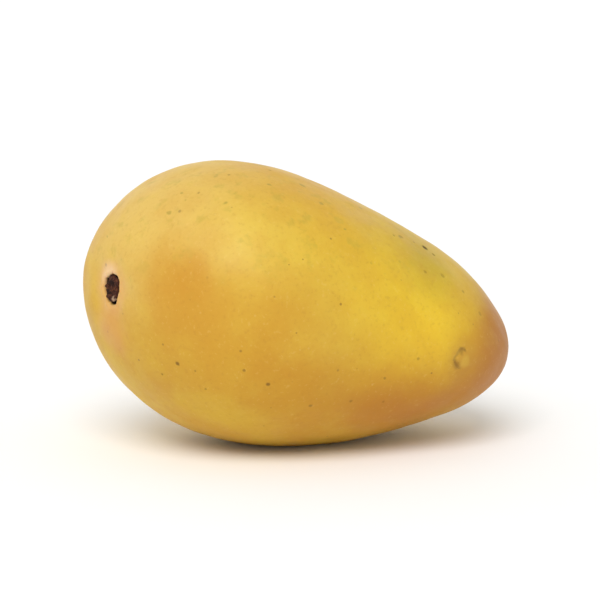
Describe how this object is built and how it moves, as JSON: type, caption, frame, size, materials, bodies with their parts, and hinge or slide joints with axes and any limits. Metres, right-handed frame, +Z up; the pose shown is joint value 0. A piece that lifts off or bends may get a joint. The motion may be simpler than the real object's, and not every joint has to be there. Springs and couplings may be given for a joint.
{
  "type": "mango",
  "caption": "Whole ripe yellow mango lying on its flatter cheek, with a small beak near the tip and the dry remnant of its stalk in a shallow pit.",
  "frame": {"origin": "under the middle of the fruit's bounding box, on the surface that it lies on", "axes": "+Z up, the thinner way through the fruit; +X along the fruit from its stalk end to its tip; the belly side, with the beak, faces -Y"},
  "size_m": [0.1146, 0.0838, 0.076],
  "materials": {
    "skin": "waxy mango skin, satin, golden yellow with fine darker pores",
    "dry_stalk": "dry, torn, dark maroon-brown stalk wood"
  },
  "bodies": {
    "root": {"mango_fruit": "skin", "stalk_stub": "dry_stalk"}
  },
  "joints": []
}
